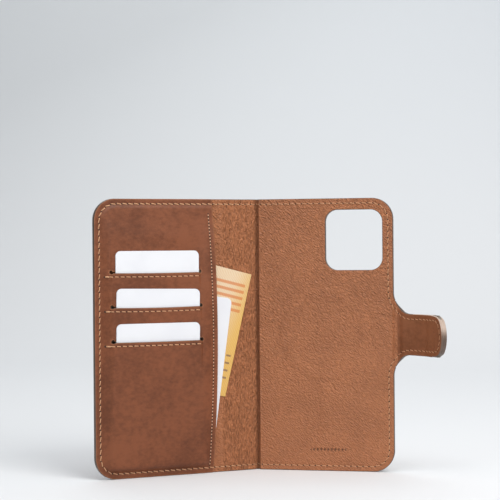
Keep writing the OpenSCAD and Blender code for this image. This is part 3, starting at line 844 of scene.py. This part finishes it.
# Painted shade: dark discs at the needle holes stand in for the shade inside them.
HOLE_SHADE = plain_material("needle_hole_shade", (0.045, 0.02, 0.011), 0.8, 0.3, 0.01, 0.3, at_rest=True)
CARD = card_material("blank_card")
NOTE = note_material("note_paper")
BOARD = plain_material("pressed_board", (0.21, 0.18, 0.15), 0.85, 0.5, 0.05)
MAGNET = plain_material("nickel", (0.6, 0.59, 0.56), 0.28, 0.2, 0.004, 0.1, 1.0)
PLATE = plain_material("steel_plate", (0.5, 0.5, 0.51), 0.35, 0.15, 0.004, 0.12, 1.0)
POCKET_CLOTH = woven_material("pocketing", (0.33, 0.24, 0.17), (0.2, 0.14, 0.1))

# ---------------------------------------------------------------- leather pieces
Z_LINES = grid_lines(-EDGE_PROUD, CASE_H + EDGE_PROUD, 0.8, [
    (0, 4, 0.4), (CASE_H, 4, 0.4), (MARK_Z, 1.7, 0.28),
    (STRAP_Z + STRAP_HALF_W, 2, 0.5), (STRAP_Z - STRAP_HALF_W, 2, 0.5)])
cover = sheet(
    "cover_leather",
    grid_lines(-COVER_END - EDGE_PROUD, SPINE_MID, 0.8, [(-COVER_END, 4, 0.4), (-SPINE_W, 3, 0.35)]),
    Z_LINES, cover_outline, cover_inner, cover_outer, place_case, [LINING, OUTER, EDGE],
    rim=0.45, layers=(0.3,))
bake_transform(cover)
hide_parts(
    "front_outer_leather", "front_lining", "spine_outer_leather", "spine_lining",
    "cover_fold_leather")

back = sheet(
    "back_leather",
    grid_lines(SPINE_MID, BACK_CUT, 0.8, [(0.3, 3.5, 0.28), (PANEL_EDGE, 3.5, 0.35), (44, 11.6, 0.4)]),
    Z_LINES, back_outline, back_inner, back_outer, place_case, [LINING, OUTER, EDGE],
    rim=0.45, layers=(0.25, 0.62), shade_and_mark=back_shade_and_mark)
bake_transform(back)
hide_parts("back_outer_leather", "back_lining", "back_fold_leather")

pocket_u_lines = grid_lines(-COVER_END - EDGE_PROUD, -MOUTH_S + 0.6, 0.85, [
    (-COVER_END, 4, 0.4), (-SLIT_END + 1, 2.2, 0.25), (-SLIT_START - 1, 2.2, 0.25), (-MOUTH_S, 4, 0.45)])
pocket_z_lines = grid_lines(-EDGE_PROUD, CASE_H + EDGE_PROUD, 0.85, [
    (0, 4, 0.4), (CASE_H, 4, 0.4), *[(s - 0.4, 2.4, 0.25) for s in SLITS]])
pocket = sheet(
    "pocket_leather", pocket_u_lines, pocket_z_lines, pocket_outline, pocket_inner, pocket_outer,
    place_case, [POCKET, POCKET, EDGE], rim=0.22)
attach(pocket, "front_cover")
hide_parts("pocket_panel")

strap_z_lines = Z_LINES[np.abs(Z_LINES - STRAP_Z) < STRAP_HALF_W + FLARE_R]
strap_root = sheet(
    "strap_root_leather", grid_lines(BACK_CUT, STRAP_MID, 0.7, [(FACING_U, 3.5, 0.25)]), strap_z_lines,
    back_outline, strap_inner, strap_outer, strap_place, [FACING, OUTER, EDGE, LINING],
    rim=0.45, turn_u=FACING_U)
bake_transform(strap_root)
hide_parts("clasp_root_fold", "clasp_bridge_leather", "clasp_bridge_facing")

strap_tip = sheet(
    "strap_tip_leather", grid_lines(STRAP_MID, STRAP_END + EDGE_PROUD, 0.6, [(STRAP_END - 3, 8, 0.4)]),
    strap_z_lines, back_outline, strap_inner, strap_outer, strap_place, [FACING, OUTER, STRAP_EDGE],
    rim=0.45, layers=(0.3, 0.7))
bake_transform(strap_tip)
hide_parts("clasp_tip_fold", "clasp_tip_leather", "clasp_tip_facing")


# ---------------------------------------------------------------- stitches
def walk(points, pitch):
    """Places at an even pitch along a line of (u, z) points."""
    p = np.array(points, float)
    length = np.concatenate([[0], np.cumsum(np.hypot(*np.diff(p, axis=0).T))])
    count = int(round(length[-1] / pitch))
    s = np.linspace(0, length[-1], count + 1)
    return np.stack([np.interp(s, length, p[:, 0]), np.interp(s, length, p[:, 1])], 1)


def arc_points(u, z, r, start, stop):
    """Points along an arc about (u, z), from start to stop degrees."""
    t = np.radians(np.linspace(start, stop, 25))
    return np.stack([u + r * np.cos(t), z + r * np.sin(t)], 1).tolist()


AROUND = 8
TURN = np.linspace(0, 2 * math.pi, AROUND, endpoint=False)


def row_axes(a, b):
    """Length, direction and crosswise direction of each stitch from places a to places b."""
    along = b - a
    length = np.maximum(np.hypot(*along.T), 1e-6)[:, None]
    d = along / length
    return length, d, np.stack([-d[:, 1], d[:, 0]], 1)


def thread_tubes(a, b, face, side, radius, rise, share, slant):
    """Points, faces and rest places of a row's stitches, whose ends dip under the face."""
    rings = 9
    t = np.linspace(0, 1, rings)
    e = np.abs(2 * t - 1)
    length, _, across = row_axes(a, b)
    k = 0.5 + (t - 0.5) * share
    lean = slant * (0.5 - t) * 2
    line = a[:, None] + (b - a)[:, None] * k[None, :, None] + across[:, None] * lean[None, :, None]
    r = radius * (1 - 0.3 * e ** 6)
    lift = rise * (1 - e ** 4) - 0.34 * e ** 5
    flat = line[:, :, None] + across[:, None, None] * (r[:, None] * np.cos(TURN))[None, :, :, None]
    ground = face(line[..., 0], line[..., 1])
    v = ground[:, :, None] + side * (lift[:, None] + r[:, None] * np.sin(TURN) * 0.75)[None]
    points = np.stack([flat[..., 0], v, flat[..., 1]], -1).reshape(-1, 3)
    n = len(a)
    q = np.arange(n)[:, None, None] * rings * AROUND + np.arange(rings - 1)[None, :, None] * AROUND
    i = np.arange(AROUND)[None, None]
    j = (i + 1) % AROUND
    faces = np.stack([q + i, q + j, q + AROUND + j, q + AROUND + i], -1).reshape(-1, 4)
    seed = np.arange(n)[:, None, None] * 7.3
    rest = np.broadcast_arrays(t[None, :, None] * length[:, :, None], TURN[None, None], seed)
    return points, faces, np.stack(rest, -1).reshape(-1, 3)


def needle_holes(a, b, face, side, radius):
    """Points and faces of a small disc at each of a row's holes, just above the face: painted shade where
    the hole is.
    """
    _, d, across = row_axes(a, b)
    places = np.concatenate([a, b[-1:]])
    d, across = np.concatenate([d, d[-1:]]), np.concatenate([across, across[-1:]])
    size = radius * 1.5
    disc = places[:, None] + d[:, None] * (size * np.cos(TURN))[None, :, None] \
        + across[:, None] * (size * 0.85 * np.sin(TURN))[None, :, None]
    disc_v = face(disc[..., 0], disc[..., 1]) + side * 0.035
    middle_v = face(places[:, 0], places[:, 1]) + side * 0.03
    rim = np.stack([disc[..., 0], disc_v, disc[..., 1]], -1).reshape(-1, 3)
    middle = np.stack([places[:, 0], middle_v, places[:, 1]], -1)
    m = len(places)
    base = np.arange(m)[:, None] * AROUND
    i = np.arange(AROUND)[None]
    hub = m * AROUND + np.arange(m)[:, None]
    faces = np.stack(np.broadcast_arrays(hub, base + (i + 1) % AROUND, base + i), -1).reshape(-1, 3)
    return np.concatenate([rim, middle]), faces


def stitches(name, rows, place, materials):
    """Stitches and their needle holes on one piece.

    rows: (start places, end places, face height function, its side, radius, rise, share of the
    pitch, slant). materials: thread, and the painted shade of the needle holes."""
    points, faces, kinds, rests = [], [], [], []
    total = 0
    for a, b, face, side, radius, rise, share, slant in rows:
        tubes = thread_tubes(a, b, face, side, radius, rise, share, slant)
        holes = needle_holes(a, b, face, side, radius)
        for kind, (p, f, rest) in enumerate([tubes, (*holes, holes[0])]):
            points.append(p)
            faces += ((f if side > 0 else f[:, ::-1]) + total).tolist()
            kinds += [kind] * len(f)
            rests.append(rest)
            total += len(p)
    p = np.concatenate(points)
    return new_object(name, place(p), faces, materials, kinds, {"rest": np.concatenate(rests)})


def run(holes, keep, face, side, radius=0.32, rise=0.17, share=0.9, slant=0.36):
    """The stitches of a seam whose middles satisfy keep(u, z)."""
    a, b = holes[:-1], holes[1:]
    m = (a + b) / 2
    k = keep(m[:, 0], m[:, 1])
    return (a[k], b[k], face, side, radius, rise, share, slant)


end_u = COVER_END - CORNER_R
inner_r = CORNER_R - SEAM
cover_seam = walk([[SPINE_MID, CASE_H - SEAM], *arc_points(-end_u, CASE_H - CORNER_R, inner_r, 90, 180),
                   *arc_points(-end_u, CORNER_R, inner_r, 180, 270), [SPINE_MID, SEAM]], PITCH)
panel_u = PANEL_EDGE - CORNER_R
tip_u = STRAP_END - TIP_R
strap_seam = STRAP_HALF_W - SEAM
tip_angle = math.degrees(math.asin(strap_seam / (TIP_R - SEAM)))
flare_u, flare_z, flare_rr = PANEL_EDGE + FLARE_R, STRAP_HALF_W + FLARE_R, FLARE_R + SEAM
back_seam = walk([[SPINE_MID, CASE_H - SEAM], *arc_points(panel_u, CASE_H - CORNER_R, inner_r, 90, 0),
                  *arc_points(flare_u, STRAP_Z + flare_z, flare_rr, 180, 270),
                  *arc_points(tip_u, STRAP_Z, TIP_R - SEAM, tip_angle, -tip_angle),
                  *arc_points(flare_u, STRAP_Z - flare_z, flare_rr, 90, 180),
                  *arc_points(panel_u, CORNER_R, inner_r, 0, -90), [SPINE_MID, SEAM]], PITCH)


def past_mouth(u, z):
    return -u > mouth_at(z) + 0.8


def everywhere(u, z):
    return np.ones(np.shape(u), bool)


cover_stitches = stitches("cover_stitches", [
    run(cover_seam, lambda u, z: ~past_mouth(u, z), cover_inner, -1),
    run(cover_seam, everywhere, cover_outer, 1)], place_case, [THREAD, HOLE_SHADE])
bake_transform(cover_stitches)
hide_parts("spine_seam_thread")

pocket_edge = stitches("pocket_edge_stitches", [
    run(cover_seam, past_mouth, pocket_inner, -1)], place_case, [THREAD, HOLE_SHADE])
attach(pocket_edge, "front_cover")
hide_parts("front_seam_thread")

mouth_z = np.linspace(CASE_H - 8.8, 4.5, 60)
mouth_seam = walk(np.stack([-mouth_at(mouth_z) - SEAM, mouth_z], 1), 2.0)
mouth_stitches = stitches("pocket_mouth_stitches", [
    run(mouth_seam, everywhere, pocket_inner, -1, 0.34, 0.1, 0.5, 0.0)], place_case, [MOUTH_THREAD, HOLE_SHADE])
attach(mouth_stitches, "front_cover")
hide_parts("pocket_mouth_thread")

for k, slot_name in enumerate(ROWS):
    slot_u = np.linspace(-SLIT_END - 1.3, -SLIT_START - 1.2, 40)
    slot_seam = walk(np.stack([slot_u, slit_line(k, slot_u) - SLOT_SEAM_DROP], 1), 3.75)
    first_u, first_z = slot_seam[0]
    tack = np.array([[first_u - 1.4, first_z - 0.05], [first_u + 1.2, first_z + 0.02]])
    size, rise = (0.26, 0.04) if k < 2 else (0.3, 0.12)  # a card slides over the two upper rows
    row = stitches(f"{slot_name}_slot_stitches", [
        run(slot_seam, everywhere, pocket_inner, -1, size, rise, 0.82, 0.1),
        run(tack, everywhere, pocket_inner, -1, 0.46, 0.3, 0.9, 0.1)], place_case, [THREAD, HOLE_SHADE])
    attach(row, "front_cover")
    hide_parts(f"{slot_name}_slot_thread")

back_stitches = stitches("back_stitches", [
    run(back_seam, lambda u, z: u < BACK_CUT, back_inner, -1, 0.3, 0.16),
    run(back_seam, lambda u, z: u < BACK_CUT, back_outer, 1)], place_case, [LINING_THREAD, HOLE_SHADE])
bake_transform(back_stitches)
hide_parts("back_seam_thread")


def on_root(u, z):
    return (u >= BACK_CUT) & (u < STRAP_MID)


def on_tip(u, z):
    return u >= STRAP_MID


root_stitches = stitches("strap_root_stitches", [
    run(back_seam, on_root, strap_inner, -1, 0.26, 0.08), run(back_seam, on_root, strap_outer, 1)],
    strap_place, [LINING_THREAD, HOLE_SHADE])
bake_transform(root_stitches)
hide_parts("clasp_bridge_thread")
tip_stitches = stitches("strap_tip_stitches", [
    run(back_seam, on_tip, strap_inner, -1, 0.26, 0.08), run(back_seam, on_tip, strap_outer, 1)],
    strap_place, [LINING_THREAD, HOLE_SHADE])
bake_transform(tip_stitches)
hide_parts("clasp_tip_thread")


# ---------------------------------------------------------------- contents of the cash pocket
def flat_insert(name, node, size, corner, tilt, thick, radius, lift, wave, material):
    """A card or note in the cash pocket: corner is its upper right one, and tilt turns it clockwise."""
    w, h = size
    t = math.radians(tilt)

    def outline(x, z):
        return rounded_box(x, z, -w, 0, -h, 0, radius) - 0.02

    def placed(p):
        x, v, z = p[..., 0], p[..., 1], p[..., 2]
        u = corner[0] + x * math.cos(t) + z * math.sin(t)
        up = corner[1] - x * math.sin(t) + z * math.cos(t)
        n = lift + v + wave(x, z)
        return place_case(np.stack([u, -FOLD_HALF - n, up], -1))

    def front(x, z):
        return np.full(np.shape(x), thick)

    def rear(x, z):
        return np.zeros(np.shape(x))

    obj = sheet(
        name, grid_lines(-w, 0, 1.6, [(0, 3, 0.4)]), grid_lines(-h, 0, 1.6, [(0, 4, 0.4)]),
        outline, rear, front, placed, [material] * 3, rim=min(0.12, thick * 0.45))
    obj.data.flip_normals()
    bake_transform(obj)
    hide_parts(node)
    return obj


cash_card = flat_insert(
    "cash_card_blank", "cash_card", (54, 85.6), (-18.6, 106), 8.2, 0.76, 3.2, 0.3,
    lambda x, z: 0.0 * x, CARD)
note = flat_insert(
    "folded_note", "banknote", (70, 77), (-4.9, 120.6), 13.9, 0.16, 0.3, 0.25,
    lambda x, z: 0.12 * smooth((x + 9) / 9) * (1 + np.sin(z / 9)), NOTE)

# ---------------------------------------------------------------- CAD nodes that stay
for node, material in {
    "card_upper": CARD, "card_middle": CARD, "card_lower": CARD, "back_board": BOARD, "front_board": BOARD,
    "clasp_filler": BOARD, "magnet_ring": MAGNET, "alignment_magnet": MAGNET, "clasp_magnets": MAGNET,
    "clasp_catch_plate": PLATE, "card_pocket_liner": POCKET_CLOTH,
}.items():
    kept = frame["nodes"][node]
    kept.data.materials.clear()
    kept.data.materials.append(material)
for row in ROWS:
    edge = frame["nodes"][f"card_{row}"].modifiers.new("soft_edge", "BEVEL")
    edge.width, edge.segments, edge.limit_method = 0.12 * MM, 2, "ANGLE"

# ---------------------------------------------------------------- studio
scene = bpy.context.scene


def backdrop():
    """One pale sweep: a floor that curves up into a wall."""
    near, far, bend, width = -9.0, 1.4, 0.6, 6.0
    profile = [(near, 0.0), (far - bend, 0.0)]
    curve = np.linspace(0.1, math.pi / 2, 14)
    profile += [(far - bend + bend * math.sin(a), bend * (1 - math.cos(a))) for a in curve]
    profile += [(far, 3.0)]
    xs = np.linspace(-width, width, 17)
    drop = 0.00015
    points = [(x, y, z - drop) for y, z in profile for x in xs]
    n = len(xs)
    faces = [(r * n + i, r * n + i + 1, (r + 1) * n + i + 1, (r + 1) * n + i)
             for r in range(len(profile) - 1) for i in range(n - 1)]
    mesh = bpy.data.meshes.new("backdrop")
    mesh.from_pydata(points, [], faces)
    mesh.polygons.foreach_set("use_smooth", [True] * len(faces))
    sweep = bpy.data.objects.new("backdrop", mesh)
    scene.collection.objects.link(sweep)
    g = Graph("pale_sweep", False)
    # Painted light and shade: the sweep is lighter to the right along the floor, and darker up the wall,
    # most of all towards its right.
    high = g.span(g.axis(2), 0.0, 600.0)
    side = g.span(g.axis(0), -560.0, 560.0)
    low_tone = g.blend(side, (0.71, 0.72, 0.73), (0.76, 0.765, 0.775))
    high_tone = g.blend(side, (0.7, 0.72, 0.735), (0.62, 0.645, 0.675))
    g.finish(g.blend(high, low_tone, high_tone), 0.8, Specular_IOR_Level=0.1)
    mesh.materials.append(g.material)
    return sweep


def area_light(name, place, aim, size, power, colour):
    """A rectangular lamp at place, turned to aim, both in metres."""
    light = bpy.data.lights.new(name, "AREA")
    light.shape, light.size, light.size_y = "RECTANGLE", *size
    light.energy, light.color = power, colour
    lamp = bpy.data.objects.new(name, light)
    lamp.location = place
    lamp.rotation_euler = (Vector(aim) - Vector(place)).to_track_quat("-Z", "Y").to_euler()
    scene.collection.objects.link(lamp)
    return lamp


middle = (-0.02, -0.03, 0.083)
backdrop()
area_light("key_window", (0.8, -0.8, 0.95), middle, (0.8, 0.8), 12.5, (1.0, 0.985, 0.965))
area_light("fill_left", (-0.95, -0.9, 0.6), middle, (0.8, 0.8), 2.5, (0.96, 0.98, 1.0))
area_light("top_soft", (0.05, -0.25, 0.85), middle, (0.6, 0.6), 3.6, (0.98, 0.99, 1.0))
area_light("back_soft", (-0.5, 0.95, 0.95), middle, (0.9, 0.6), 3.0, (0.98, 0.99, 1.0))
area_light("wall_wash", (0.0, 0.5, 1.35), (0.0, 1.4, 0.5), (1.8, 0.5), 8.0, (0.98, 0.99, 1.0))
world = bpy.data.worlds.new("studio_air")
world.use_nodes = True
world.node_tree.nodes["Background"].inputs["Color"].default_value = (0.93, 0.965, 1.0, 1)
world.node_tree.nodes["Background"].inputs["Strength"].default_value = 0.3
scene.world = world
scene.view_settings.view_transform = "Standard"
scene.view_settings.look = "None"

# The camera's place in metres, and its turn, downward tilt and roll in degrees.
CAMERA_AT = Vector((182.75, -1014.94, 137.55)) * MM
CAMERA_TURN, CAMERA_DOWN, CAMERA_ROLL = 12.789, 0.098, -0.457
camera_data = bpy.data.cameras.new("photo_camera")
camera_data.lens, camera_data.sensor_width = 120.68, 36.0
camera_data.clip_end = 10
camera = bpy.data.objects.new("photo_camera", camera_data)
camera.matrix_world = (
    Matrix.Translation(CAMERA_AT)
    @ Matrix.Rotation(math.radians(CAMERA_TURN), 4, "Z")
    @ Matrix.Rotation(math.radians(90 - CAMERA_DOWN), 4, "X")
    @ Matrix.Rotation(math.radians(CAMERA_ROLL), 4, "Z"))
scene.collection.objects.link(camera)
scene.camera = camera
